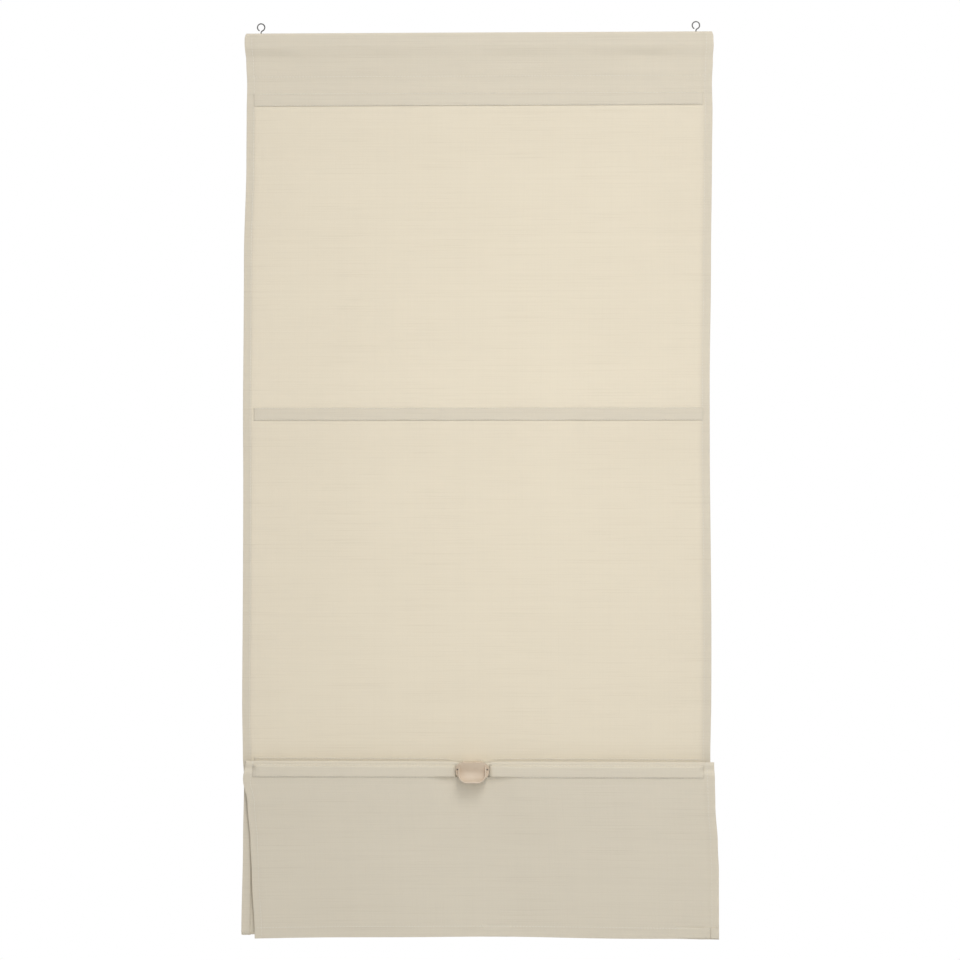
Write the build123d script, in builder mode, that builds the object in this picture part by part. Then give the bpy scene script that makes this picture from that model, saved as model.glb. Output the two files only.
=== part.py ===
# Roman blind with a hook-on pull, hanging with its lowest section folded up once.
# Frame: +Z up, +X to the right seen from the front, the front faces -Y.
# Origin: midway between the centres of the two hanging eyes.
import os
from math import acos, degrees, sqrt

from build123d import *

os.makedirs("parts", exist_ok=True)

# Cloth sheet: finished width, thickness of one layer and the turned hems.
cloth_width = 600.0
cloth_thickness = 0.6
cloth_half = cloth_thickness / 2
hem_width = 9.5
hem_thickness = cloth_thickness * 2
bottom_hem_height = 15.4
cloth_left = -cloth_width / 2
cloth_right = cloth_width / 2

# Heights of the cloth, all measured from the line through the eye centres.
cloth_top_z = -8.6
head_pocket_height = 56.0
seam_allowance = 26.0
panel_height = 938.8
loop_height = 219.6
flap_height = 221.0
head_seam_z = cloth_top_z - head_pocket_height
turn_end_z = head_seam_z - seam_allowance
fold_top_z = cloth_top_z - panel_height
loop_bottom_z = fold_top_z - loop_height
flap_bottom_z = fold_top_z - flap_height

# Depth of the three hanging layers: panel, rear of the fold and front flap.
loop_radius = 4.6
fold_radius = 2.2
panel_y = 0.0
riser_y = panel_y - loop_radius * 2
flap_y = riser_y - fold_radius * 2
panel_front_y = panel_y - cloth_half
flap_front_y = flap_y - cloth_half
loop_centre_y = panel_y - loop_radius
loop_centre_z = loop_bottom_z + loop_radius + cloth_half
fold_centre_y = riser_y - fold_radius
fold_centre_z = fold_top_z - fold_radius - cloth_half

# The flap hangs askew: sideways shift of its top and of its bottom edge.
fold_shift = 2.5
flap_shift = 11.3

# Wooden batten in the head pocket.
batten_height = 18.0
batten_thickness = 8.0
batten_end_inset = 4.0
batten_corner = 2.0
pocket_slack = 0.8
pocket_corner = 2.4
batten_length = cloth_width - batten_end_inset * 2
batten_top_z = cloth_top_z - cloth_thickness - pocket_slack
batten_bottom_z = batten_top_z - batten_height
batten_middle_z = (batten_top_z + batten_bottom_z) / 2
pocket_y = batten_thickness / 2 + pocket_slack + cloth_half
pocket_top_z = cloth_top_z - cloth_half

# Wire eyes screwed into the top edge of the batten.
eye_inset = 20.0
eye_spacing = cloth_width - eye_inset * 2
eye_wire = 1.6
eye_flat_count = 10
eye_loop_radius = 4.7
eye_bend_radius = 3.0
eye_loop_turn = 312.0
eye_grip_length = 14.0
eye_tip_length = 2.0
eye_hole_slack = 0.5
eye_bend_span = eye_loop_radius + eye_bend_radius
eye_bend_turn = degrees(acos(eye_bend_radius / eye_bend_span))
eye_stem_top_z = -sqrt(eye_bend_span**2 - eye_bend_radius**2)
eye_stem_foot_z = batten_top_z - eye_grip_length
eye_tip_z = eye_stem_foot_z - eye_tip_length
eye_left_x = -eye_spacing / 2
eye_right_x = eye_spacing / 2

# Sewn tapes that make the tunnels for the rods.
tape_end_inset = 13.5
tape_length = cloth_width - tape_end_inset * 2
tape_height = 16.7
tape_thickness = 0.5
tape_half = tape_thickness / 2
tape_flange = 1.5
tape_rise = 0.4
tape_corner = 1.0
tape_rod_slack = 0.3
tape_start_x = -tape_length / 2
tape_1_drop = 29.5
tape_2_drop = 405.2
tape_3_drop = 2.8
tape_4_drop = 9.8
tape_1_middle_z = head_seam_z - tape_1_drop
tape_2_middle_z = tape_1_middle_z - tape_2_drop
tape_3_middle_z = fold_top_z - tape_3_drop
tape_4_middle_z = fold_top_z - tape_4_drop
tape_1_bottom_z = tape_1_middle_z - tape_height / 2
tape_2_bottom_z = tape_2_middle_z - tape_height / 2
tape_3_bottom_z = tape_3_middle_z - tape_height / 2
tape_4_bottom_z = tape_4_middle_z - tape_height / 2

# Stiffening rods, and where each lies: two at rest, one under the hook, one in the pull.
rod_diameter = 3.0
rod_radius = rod_diameter / 2
rod_end_play = 3.0
rod_length = tape_length - rod_end_play * 2
rod_chamfer = 0.4
rod_start_x = -rod_length / 2
rod_rest_lift = 3.9
rod_3_drop = 3.8
rod_4_drop = 7.3
rod_rest_y = panel_front_y - tape_rod_slack - rod_radius
rod_1_z = tape_1_bottom_z + rod_rest_lift
rod_2_z = tape_2_bottom_z + rod_rest_lift
rod_3_z = fold_top_z - rod_3_drop
rod_4_z = fold_top_z - rod_4_drop

# Pull: position along the rod and thickness of its walls.
pull_x = -6.6
pull_wall = 2.0
strap_thickness = 1.6
strap_half = strap_thickness / 2
strap_width = 24.0
strap_corner = 1.8
strap_slack = 0.6
tip_slack = 0.5
tip_rod_slack = 0.7
tip_depth = 2.0
saddle_slack = 0.3

# Depth of the hooked rod and of the rod that carries the pull.
tip_y = panel_front_y - tip_slack - strap_half
rod_3_y = tip_y - strap_half - tip_rod_slack - rod_radius
rod_4_gap = 1.1
rod_4_y = flap_front_y - rod_4_gap - rod_radius

# Tunnel depths, from the cloth face to the inside of each tape.
tape_rest_depth = panel_front_y - rod_rest_y + rod_radius + tape_rod_slack
tape_3_depth = panel_front_y - rod_3_y + rod_radius + tape_rod_slack
tape_4_depth = flap_front_y - rod_4_y + rod_radius + tape_rod_slack

# Openings in the tapes: a slit for the hook and a window for the pull.
slit_width = 50.0
slit_height = tape_flange + tape_rise
cut_overrun = 20.0

# Clip of the pull: a ring round the rod that is open towards the cloth.
clip_clearance = 0.05
clip_wall = 1.6
clip_bore = rod_radius + clip_clearance
clip_outer = clip_bore + clip_wall
clip_upper_angle = 52.0
clip_open_turn = 132.0
clip_mouth_reach = clip_outer * 3

# Scoop of the pull: leaning upper wall, then a quarter turn out to the lip.
pull_width = 43.0
pull_upper_height = 20.6
pull_upper_corner = 9.0
tongue_width = 35.6
rim_width = 1.6
rim_top_out = 0.6
tongue_corner = 11.0
tongue_top_corner = 8.0
pull_lip_drop = 15.9
scoop_top_out = 5.0
scoop_back_out = 2.9
scoop_back_drop = 1.0
scoop_radius = 12.8
scoop_inner_radius = scoop_radius - pull_wall
scoop_turn = 98.0
window_width = 2.2
window_height = 1.8
window_rise = 0.5
window_out = 19.1
strap_z = fold_top_z + strap_slack + strap_half
pull_top_z = strap_z + strap_half
pull_lip_z = rod_4_z - pull_lip_drop
pull_upper_z = pull_top_z - pull_upper_height / 2
cup_cut_z = pull_top_z + cut_overrun
pull_start_x = pull_x - pull_width / 2
wall_back_y = rod_4_y - scoop_top_out
wall_front_y = wall_back_y - pull_wall
crease_back_y = rod_4_y - scoop_back_out
crease_front_y = crease_back_y - pull_wall
crease_z = rod_4_z - scoop_back_drop
rim_top_y = wall_front_y - rim_top_out
strap_start_x = pull_x - strap_width / 2
saddle_z = rod_3_z + rod_radius + saddle_slack + strap_half
window_slack = 1.2
window_gap = pull_width + window_slack * 2
notch_gap = strap_width + window_slack * 2
notch_bottom_z = rod_3_z + rod_radius - saddle_slack

# Three strips of the sheet: the single middle and the doubled hem at each side.
strips = (
    (cloth_left, cloth_right, cloth_thickness),
    (cloth_left, cloth_left + hem_width, hem_thickness),
    (cloth_right - hem_width, cloth_right, hem_thickness),
)
flap_run = fold_centre_z - flap_bottom_z
flap_hem_z = flap_bottom_z + bottom_hem_height
flap_hem_share = (fold_centre_z - flap_hem_z) / flap_run
flap_hem_shift = fold_shift + (flap_shift - fold_shift) * flap_hem_share


def hanging_layer(left, right, middle_y, thickness, top, bottom):
    """Outline of one flat layer; top and bottom are pairs of height and sideways shift."""
    top_z, top_shift = top
    bottom_z, bottom_shift = bottom
    with BuildSketch(Plane.XZ.offset(-middle_y - thickness / 2)) as outline:
        with BuildLine():
            Polyline(
                (left + top_shift, top_z),
                (right + top_shift, top_z),
                (right + bottom_shift, bottom_z),
                (left + bottom_shift, bottom_z),
                close=True,
            )
        make_face()
    return outline.sketch


def turned_edge(start_x, centre_y, centre_z, radius, first_angle, thickness):
    """Half ring where the cloth turns over, as a section across the blind."""
    with BuildSketch(Plane.YZ.offset(start_x)) as section:
        with BuildLine():
            CenterArc((centre_y, centre_z), radius, first_angle, 180)
        trace(line_width=thickness)
    return section.sketch


def head_section(start_x, thickness):
    """Section of the head pocket: the sheet goes round the batten and is sewn to itself."""
    half = thickness / 2
    with BuildSketch(Plane.YZ.offset(start_x)) as section:
        with BuildLine():
            Polyline(
                (panel_y - half, turn_end_z),
                (panel_y - half, head_seam_z),
                (-pocket_y - half, batten_bottom_z),
                (-pocket_y - half, pocket_top_z + half),
                (pocket_y + half, pocket_top_z + half),
                (pocket_y + half, batten_bottom_z),
                (cloth_thickness + half, head_seam_z),
                (cloth_thickness + half, turn_end_z),
                close=True,
            )
        make_face()
        fillet(section.vertices().group_by(Axis.Y)[-1], pocket_corner + half)
        with BuildLine():
            Polyline(
                (cloth_half, head_seam_z),
                (-pocket_y + half, batten_bottom_z),
                (-pocket_y + half, pocket_top_z - half),
                (pocket_y - half, pocket_top_z - half),
                (pocket_y - half, batten_bottom_z),
                close=True,
            )
        make_face(mode=Mode.SUBTRACT)
    return section.sketch


def tape_section(face_y, bottom_z, depth):
    """Section of a tape: two flat flanges with the tunnel standing out between them."""
    flat_y = face_y - tape_half
    out_y = face_y - depth - tape_half
    top_z = bottom_z + tape_height
    with BuildSketch(Plane.YZ.offset(tape_start_x)) as section:
        with BuildLine():
            FilletPolyline(
                (flat_y, bottom_z),
                (flat_y, bottom_z + tape_flange),
                (out_y, bottom_z + tape_flange + tape_rise),
                (out_y, top_z - tape_flange - tape_rise),
                (flat_y, top_z - tape_flange),
                (flat_y, top_z),
                radius=tape_corner,
            )
        trace(line_width=tape_thickness)
    return section.sketch


def front_opening(width, bottom_z, height):
    """Rectangle seen from the front, centred on the pull, for cutting a tape."""
    with BuildSketch(Plane.XZ) as opening:
        with Locations((pull_x, bottom_z + height / 2)):
            Rectangle(width, height)
    return opening.sketch


def rod_section(middle_y, middle_z):
    """Round section of a rod at its left end."""
    with BuildSketch(Plane.YZ.offset(rod_start_x)) as section:
        with Locations((middle_y, middle_z)):
            Circle(rod_radius)
    return section.sketch


def cup_outline(width, bottom_z, top_z, lower_corner):
    """Outline of the cup of the pull seen from the front, with rounder corners below."""
    with BuildSketch(Plane.XZ.offset(-flap_y)) as outline:
        with Locations((pull_x, (bottom_z + top_z) / 2)):
            Rectangle(width, top_z - bottom_z)
        fillet(outline.vertices().group_by(Axis.Y)[0], lower_corner)
        fillet(outline.vertices().group_by(Axis.Y)[-1], tongue_top_corner)
    return outline.sketch


def eye_path(middle_x):
    """Centre line of an eye: stem, bend to the right, then the loop back to the stem."""
    with BuildLine(Plane.XZ) as path:
        stem = Line((middle_x, eye_stem_foot_z), (middle_x, eye_stem_top_z))
        bend = JernArc(stem @ 1, stem % 1, eye_bend_radius, -eye_bend_turn)
        JernArc(bend @ 1, bend % 1, eye_loop_radius, eye_loop_turn)
    return path.wires()[0]


# The cloth: one sheet from the turned-in end of the head pocket to the flap's hem.
with BuildPart() as fabric:
    for left, right, thickness in strips:
        extrude(head_section(left, thickness), amount=right - left)
        extrude(
            hanging_layer(left, right, panel_y, thickness, (turn_end_z, 0), (loop_centre_z, 0)),
            amount=thickness,
        )
        extrude(
            turned_edge(left, loop_centre_y, loop_centre_z, loop_radius, 180, thickness),
            amount=right - left,
        )
        extrude(
            hanging_layer(
                left, right, riser_y, thickness, (fold_centre_z, fold_shift), (loop_centre_z, 0)
            ),
            amount=thickness,
        )
        extrude(
            turned_edge(left + fold_shift, fold_centre_y, fold_centre_z, fold_radius, 0, thickness),
            amount=right - left,
        )
        extrude(
            hanging_layer(
                left, right, flap_y, thickness, (fold_centre_z, fold_shift), (flap_bottom_z, flap_shift)
            ),
            amount=thickness,
        )
    extrude(
        hanging_layer(
            cloth_left, cloth_right, flap_y, hem_thickness,
            (flap_hem_z, flap_hem_shift), (flap_bottom_z, flap_shift),
        ),
        amount=hem_thickness,
    )
    # Holes that let the stems of the eyes through the top of the pocket.
    with BuildSketch(Plane.XY.offset(cloth_top_z)):
        with Locations((eye_left_x, 0), (eye_right_x, 0)):
            Circle(eye_wire / 2 + eye_hole_slack)
    extrude(amount=-(cloth_thickness + pocket_slack), both=True, mode=Mode.SUBTRACT)
fabric.part.label = "fabric"
export_step(fabric.part, "parts/fabric.step")

# Batten with a pilot hole for each eye.
with BuildPart() as head_batten:
    with BuildSketch(Plane.YZ.offset(-batten_length / 2)):
        with Locations((0, batten_middle_z)):
            RectangleRounded(batten_thickness, batten_height, batten_corner)
    extrude(amount=batten_length)
    with BuildSketch(Plane.XY.offset(batten_top_z)):
        with Locations((eye_left_x, 0), (eye_right_x, 0)):
            Circle(eye_wire / 2)
    extrude(amount=-(eye_grip_length + eye_tip_length), mode=Mode.SUBTRACT)
head_batten.part.label = "head_batten"
export_step(head_batten.part, "parts/head_batten.step")

# Left eye: bent wire with a pointed foot.
with BuildPart() as screw_eye_left:
    with BuildSketch(Plane.XY.offset(eye_stem_foot_z)):
        with Locations((eye_left_x, 0)):
            RegularPolygon(eye_wire / 2, eye_flat_count)
    sweep(path=eye_path(eye_left_x))
    with BuildSketch(Plane.XZ):
        with BuildLine():
            Polyline(
                (eye_left_x, eye_tip_z),
                (eye_left_x + eye_wire / 2, eye_stem_foot_z),
                (eye_left_x, eye_stem_foot_z),
                close=True,
            )
        make_face()
    revolve(axis=Axis((eye_left_x, 0, 0), (0, 0, 1)))
screw_eye_left.part.label = "screw_eye_left"
export_step(screw_eye_left.part, "parts/screw_eye_left.step")

# Right eye, the same bend.
with BuildPart() as screw_eye_right:
    with BuildSketch(Plane.XY.offset(eye_stem_foot_z)):
        with Locations((eye_right_x, 0)):
            RegularPolygon(eye_wire / 2, eye_flat_count)
    sweep(path=eye_path(eye_right_x))
    with BuildSketch(Plane.XZ):
        with BuildLine():
            Polyline(
                (eye_right_x, eye_tip_z),
                (eye_right_x + eye_wire / 2, eye_stem_foot_z),
                (eye_right_x, eye_stem_foot_z),
                close=True,
            )
        make_face()
    revolve(axis=Axis((eye_right_x, 0, 0), (0, 0, 1)))
screw_eye_right.part.label = "screw_eye_right"
export_step(screw_eye_right.part, "parts/screw_eye_right.step")

# Top tunnel: its upper seam is left open in the middle for the hook.
with BuildPart() as pocket_tape_1:
    extrude(tape_section(panel_front_y, tape_1_bottom_z, tape_rest_depth), amount=tape_length)
    extrude(
        front_opening(slit_width, tape_1_bottom_z + tape_height - slit_height, slit_height),
        amount=cut_overrun,
        mode=Mode.SUBTRACT,
    )
pocket_tape_1.part.label = "pocket_tape_1"
export_step(pocket_tape_1.part, "parts/pocket_tape_1.step")

# Middle tunnel, the same as the top one.
with BuildPart() as pocket_tape_2:
    extrude(tape_section(panel_front_y, tape_2_bottom_z, tape_rest_depth), amount=tape_length)
    extrude(
        front_opening(slit_width, tape_2_bottom_z + tape_height - slit_height, slit_height),
        amount=cut_overrun,
        mode=Mode.SUBTRACT,
    )
pocket_tape_2.part.label = "pocket_tape_2"
export_step(pocket_tape_2.part, "parts/pocket_tape_2.step")

# Tunnel in use: the hook holds its open edge down, so the middle is lower there.
with BuildPart() as pocket_tape_3:
    extrude(tape_section(panel_front_y, tape_3_bottom_z, tape_3_depth), amount=tape_length)
    extrude(
        front_opening(notch_gap, notch_bottom_z, tape_height),
        amount=cut_overrun,
        mode=Mode.SUBTRACT,
    )
pocket_tape_3.part.label = "pocket_tape_3"
export_step(pocket_tape_3.part, "parts/pocket_tape_3.step")

# Tunnel on the flap: open in the middle, where the pull grips the rod.
with BuildPart() as pocket_tape_4:
    extrude(tape_section(flap_front_y, tape_4_bottom_z, tape_4_depth), amount=tape_length)
    extrude(
        front_opening(window_gap, tape_4_bottom_z + tape_flange / 2, tape_height),
        amount=cut_overrun * 2,
        mode=Mode.SUBTRACT,
    )
pocket_tape_4.part.label = "pocket_tape_4"
export_step(pocket_tape_4.part, "parts/pocket_tape_4.step")

# Rods, one in each tunnel.
with BuildPart() as rod_1:
    extrude(rod_section(rod_rest_y, rod_1_z), amount=rod_length)
    chamfer(rod_1.edges().filter_by(GeomType.CIRCLE), rod_chamfer)
rod_1.part.label = "rod_1"
export_step(rod_1.part, "parts/rod_1.step")

with BuildPart() as rod_2:
    extrude(rod_section(rod_rest_y, rod_2_z), amount=rod_length)
    chamfer(rod_2.edges().filter_by(GeomType.CIRCLE), rod_chamfer)
rod_2.part.label = "rod_2"
export_step(rod_2.part, "parts/rod_2.step")

with BuildPart() as rod_3:
    extrude(rod_section(rod_3_y, rod_3_z), amount=rod_length)
    chamfer(rod_3.edges().filter_by(GeomType.CIRCLE), rod_chamfer)
rod_3.part.label = "rod_3"
export_step(rod_3.part, "parts/rod_3.step")

with BuildPart() as rod_4:
    extrude(rod_section(rod_4_y, rod_4_z), amount=rod_length)
    chamfer(rod_4.edges().filter_by(GeomType.CIRCLE), rod_chamfer)
rod_4.part.label = "rod_4"
export_step(rod_4.part, "parts/rod_4.step")

# Space in the cup of the pull: in front of its wall, between its sides and open at the top.
with BuildPart() as cup_space:
    with BuildSketch(Plane.YZ.offset(pull_start_x)):
        with BuildLine():
            wall = Line((wall_front_y, pull_top_z), (crease_front_y, crease_z))
            turn = JernArc(wall @ 1, wall % 1, scoop_inner_radius, -scoop_turn)
            floor = PolarLine(turn @ 1, cut_overrun, direction=turn % 1)
            Polyline(floor @ 1, ((floor @ 1).X, cup_cut_z), (wall_front_y, cup_cut_z), wall @ 0)
        make_face()
    extrude(amount=pull_width)
    extrude(
        cup_outline(
            tongue_width - rim_width * 2, pull_lip_z + rim_width, cup_cut_z, tongue_corner - rim_width
        ),
        amount=cut_overrun * 2,
        both=True,
        mode=Mode.INTERSECT,
    )

# Shoulders of the pull: the upper wall with the clip behind it, rounded at both ends.
with BuildPart() as shoulders:
    with BuildSketch(Plane.YZ.offset(pull_start_x)):
        with BuildLine():
            wall = Line((wall_back_y, pull_top_z), (crease_back_y, crease_z))
            turn = JernArc(wall @ 1, wall % 1, scoop_radius, -scoop_turn / 2)
            face = Line((wall_front_y, pull_top_z), (crease_front_y, crease_z))
            sweep_on = JernArc(face @ 1, face % 1, scoop_inner_radius, -scoop_turn / 2)
            Line(turn @ 1, sweep_on @ 1)
            Line(wall @ 0, face @ 0)
        make_face()
        with Locations((rod_4_y, rod_4_z)):
            Circle(clip_outer)
    extrude(amount=pull_width)
    with BuildSketch(Plane.XZ.offset(-flap_y)):
        with Locations((pull_x, pull_upper_z)):
            RectangleRounded(pull_width, pull_upper_height, pull_upper_corner)
    extrude(amount=cut_overrun * 2, both=True, mode=Mode.INTERSECT)

# Pull: a cup for the finger, a clip on the rod and a strap that hooks over the next rod.
with BuildPart() as pull:
    # Cup: leaning wall and quarter-round lip, filled out to the slanting plane of its rim.
    with BuildSketch(Plane.YZ.offset(pull_start_x)):
        with BuildLine():
            wall = Line((wall_back_y, pull_top_z), (crease_back_y, crease_z))
            turn = JernArc(wall @ 1, wall % 1, scoop_radius, -scoop_turn)
            Polyline(turn @ 1, (rim_top_y, pull_top_z), wall @ 0)
        make_face()
    extrude(amount=pull_width)
    extrude(
        cup_outline(tongue_width, pull_lip_z, pull_top_z, tongue_corner),
        amount=cut_overrun * 2,
        both=True,
        mode=Mode.INTERSECT,
    )
    add(cup_space.part, mode=Mode.SUBTRACT)
    add(shoulders.part)
    # Bore for the rod and the mouth of the clip, which faces the cloth.
    with BuildSketch(Plane.YZ.offset(pull_start_x)):
        with Locations((rod_4_y, rod_4_z)):
            Circle(clip_bore)
        with BuildLine():
            upper = PolarLine((rod_4_y, rod_4_z), clip_mouth_reach, clip_upper_angle)
            lower = PolarLine((rod_4_y, rod_4_z), clip_mouth_reach, clip_upper_angle - clip_open_turn)
            Line(upper @ 1, lower @ 1)
        make_face()
    extrude(amount=pull_width, mode=Mode.SUBTRACT)
    # Small windows in the shoulders, through which the rod is seen.
    with BuildSketch(Plane.XZ.offset(-rod_4_y)):
        with Locations((pull_x - window_out, rod_4_z + window_rise)):
            Rectangle(window_width, window_height)
        with Locations((pull_x + window_out, rod_4_z + window_rise)):
            Rectangle(window_width, window_height)
    extrude(amount=cut_overrun, mode=Mode.SUBTRACT)
    # Strap over the fold, down on to the hooked rod and behind it.
    with BuildSketch(Plane.YZ.offset(strap_start_x)):
        with BuildLine():
            FilletPolyline(
                ((wall_back_y + wall_front_y) / 2, strap_z),
                (riser_y + strap_slack + strap_thickness, strap_z),
                (rod_3_y - rod_radius / 2, saddle_z),
                (tip_y, saddle_z),
                (tip_y, rod_3_z - tip_depth),
                radius=strap_corner,
            )
        trace(line_width=strap_thickness)
    extrude(amount=strap_width)
pull.part.label = "pull"
export_step(pull.part, "parts/pull.step")
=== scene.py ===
"""Looks of a cream roman blind with a hook-on pull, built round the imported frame.

Lengths are metres in the frame of the part: +Z up, +X to the right seen from the front,
the front faces -Y, and the origin lies midway between the two hanging eyes.
"""
from __future__ import annotations

import logging
import math
from dataclasses import dataclass, field
from enum import Enum
from typing import Any, Mapping, Sequence, Union

import bpy
import numpy as np
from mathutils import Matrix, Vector


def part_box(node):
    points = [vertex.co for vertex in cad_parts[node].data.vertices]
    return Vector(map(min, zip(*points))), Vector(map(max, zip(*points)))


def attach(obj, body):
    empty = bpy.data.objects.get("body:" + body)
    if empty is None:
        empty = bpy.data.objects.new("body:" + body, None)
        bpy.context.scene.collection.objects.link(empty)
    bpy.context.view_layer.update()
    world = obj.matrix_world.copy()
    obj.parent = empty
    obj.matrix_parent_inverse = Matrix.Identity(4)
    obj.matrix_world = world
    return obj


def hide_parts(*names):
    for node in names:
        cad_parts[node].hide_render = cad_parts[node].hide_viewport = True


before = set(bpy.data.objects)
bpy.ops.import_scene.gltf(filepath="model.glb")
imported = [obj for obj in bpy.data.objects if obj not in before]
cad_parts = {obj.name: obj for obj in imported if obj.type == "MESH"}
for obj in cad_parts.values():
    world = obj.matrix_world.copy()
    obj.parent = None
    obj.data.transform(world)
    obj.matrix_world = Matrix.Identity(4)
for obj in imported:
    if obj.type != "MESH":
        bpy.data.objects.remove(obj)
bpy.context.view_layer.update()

LOG = logging.getLogger("roman_blind")
MM = 0.001
BLIND = "blind"
UV_NAME = "cloth"
SEAM_NAME = "seam"
TAPE_NODES = ("pocket_tape_1", "pocket_tape_2", "pocket_tape_3", "pocket_tape_4")
HOOKED_TAPE, HOOKED_ROD = "pocket_tape_3", "rod_3"
FLAP_TAPE = "pocket_tape_4"
DRAWING_TAPES = tuple(node for node in TAPE_NODES if node != HOOKED_TAPE)

Array = np.ndarray
Colour = tuple[float, float, float, float]
Stations = Sequence[tuple[float, float]]


# Arithmetic of shader nodes.


class Socket:
    """An output of a node that Python's operators turn into Math nodes."""

    def __init__(self, shader: "Shader", output: bpy.types.NodeSocket) -> None:
        """Keeps the output and the shader that new nodes go into."""
        self.shader = shader
        self.output = output

    def __add__(self, other: "Operand") -> "Socket":
        """Sum of this and another value."""
        return self.shader.math("ADD", self, other)

    def __radd__(self, other: "Operand") -> "Socket":
        """Sum of another value and this."""
        return self.shader.math("ADD", other, self)

    def __sub__(self, other: "Operand") -> "Socket":
        """This less another value."""
        return self.shader.math("SUBTRACT", self, other)

    def __rsub__(self, other: "Operand") -> "Socket":
        """Another value less this."""
        return self.shader.math("SUBTRACT", other, self)

    def __mul__(self, other: "Operand") -> "Socket":
        """Product of this and another value."""
        return self.shader.math("MULTIPLY", self, other)

    def __rmul__(self, other: "Operand") -> "Socket":
        """Product of another value and this."""
        return self.shader.math("MULTIPLY", other, self)

    def __truediv__(self, other: "Operand") -> "Socket":
        """This over another value."""
        return self.shader.math("DIVIDE", self, other)

    def __rtruediv__(self, other: "Operand") -> "Socket":
        """Another value over this."""
        return self.shader.math("DIVIDE", other, self)

    def __abs__(self) -> "Socket":
        """This without its sign."""
        return self.shader.math("ABSOLUTE", self)


Operand = Union[Socket, float]


class Shader:
    """The node tree of one material or world, written as Python expressions."""

    def __init__(self, owner: Union[bpy.types.Material, bpy.types.World]) -> None:
        """Empties the owner's node tree.

        Args:
            owner: the material or world that the nodes belong to.
        """
        owner.use_nodes = True
        self.owner = owner
        self.tree = owner.node_tree
        self.tree.nodes.clear()

    def node(
        self,
        kind: str,
        settings: Mapping[str, Any] | None = None,
        inputs: Mapping[Any, Any] | None = None,
    ) -> bpy.types.Node:
        """Adds a node.

        Args:
            kind: Blender's name of the node type.
            settings: properties of the node, set before its sockets.
            inputs: sockets by name or number, each with a value, a Socket or an output.

        Returns:
            The new node.
        """
        made = self.tree.nodes.new(kind)
        for name, value in (settings or {}).items():
            setattr(made, name, value)
        for name, value in (inputs or {}).items():
            if isinstance(value, Socket):
                value = value.output
            if isinstance(value, bpy.types.NodeSocket):
                self.tree.links.new(value, made.inputs[name])
            else:
                made.inputs[name].default_value = value
        return made

    def read(self, made: bpy.types.Node, name: Union[str, int] = 0) -> Socket:
        """An output of a node, ready for arithmetic."""
        return Socket(self, made.outputs[name])

    def math(self, operation: str, *operands: Operand) -> Socket:
        """A Math node on up to three values.

        Args:
            operation: Blender's name of the sum.
            operands: sockets or numbers, in the order of the node's inputs.

        Returns:
            The node's value.
        """
        inputs = dict(enumerate(operands))
        return self.read(self.node("ShaderNodeMath", {"operation": operation}, inputs))

    def smooth(self, value: Operand, low: float, high: float) -> Socket:
        """A value carried smoothly from 0 at low to 1 at high."""
        made = self.node(
            "ShaderNodeMapRange",
            {"interpolation_type": "SMOOTHSTEP"},
            {"Value": value, "From Min": low, "From Max": high},
        )
        return self.read(made)

    def noise(self, vector: Socket, scale: Sequence[float], detail: float = 2.0) -> Socket:
        """Smooth noise about 0.5, with a scale for each axis."""
        stretched = self.node(
            "ShaderNodeMapping", {"vector_type": "POINT"}, {"Vector": vector, "Scale": scale}
        )
        made = self.node(
            "ShaderNodeTexNoise",
            {"noise_dimensions": "3D"},
            {"Vector": self.read(stretched), "Scale": 1.0, "Detail": detail},
        )
        return self.read(made, "Fac")

    def per_thread(self, count: Socket) -> Socket:
        """A number between 0 and 1 that differs from one whole count to the next."""
        whole = {"W": self.math("FLOOR", count)}
        return self.read(self.node("ShaderNodeTexWhiteNoise", {"noise_dimensions": "1D"}, whole))

    def mixed(self, factor: Operand, first: Any, second: Any) -> Socket:
        """A colour between two colours.

        Args:
            factor: 0 gives the first colour and 1 the second.
            first: a colour or a socket.
            second: a colour or a socket.

        Returns:
            The mixed colour.
        """
        made = self.node(
            "ShaderNodeMix",
            {"data_type": "RGBA", "clamp_factor": True},
            {"Factor": factor, 6: first, 7: second},
        )
        return self.read(made, 2)

    def object_place(self) -> Socket:
        """The place on the piece in metres."""
        return self.read(self.node("ShaderNodeTexCoord"), "Object")

    def split(self, vector: Socket) -> tuple[Socket, ...]:
        """The three parts of a place."""
        made = self.node("ShaderNodeSeparateXYZ", inputs={"Vector": vector})
        return tuple(self.read(made, axis) for axis in "XYZ")

    def bump(
        self, height: Socket, depth: float, strength: float, under: Socket | None = None
    ) -> Socket:
        """Normals of a surface raised by a height between 0 and 1.

        Args:
            height: the relief.
            depth: metres between heights 0 and 1.
            strength: share of the relief that shows.
            under: normal of the surface below the relief, if it isn't the mesh's own.

        Returns:
            The normal.
        """
        inputs = {"Height": height, "Distance": depth, "Strength": strength}
        if under is not None:
            inputs["Normal"] = under
        return self.read(self.node("ShaderNodeBump", inputs=inputs))

    def principled(self, inputs: Mapping[str, Any]) -> bpy.types.Node:
        """A Principled shader with the inputs given."""
        return self.node("ShaderNodeBsdfPrincipled", inputs=inputs)

    def blended(
        self, factor: Operand, first: bpy.types.Node, second: bpy.types.Node
    ) -> bpy.types.Node:
        """A mix of two shaders, the second by the factor."""
        inputs = {0: factor, 1: first.outputs[0], 2: second.outputs[0]}
        return self.node("ShaderNodeMixShader", inputs=inputs)

    def finish(self, surface: bpy.types.Node) -> None:
        """Joins the last shader to the output."""
        kind = "World" if isinstance(self.owner, bpy.types.World) else "Material"
        self.node(f"ShaderNodeOutput{kind}", inputs={"Surface": surface.outputs[0]})


def colour(red: float, green: float, blue: float) -> Colour:
    """A colour of linear light with full cover."""
    return (red, green, blue, 1.0)


# Finishes.


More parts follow.
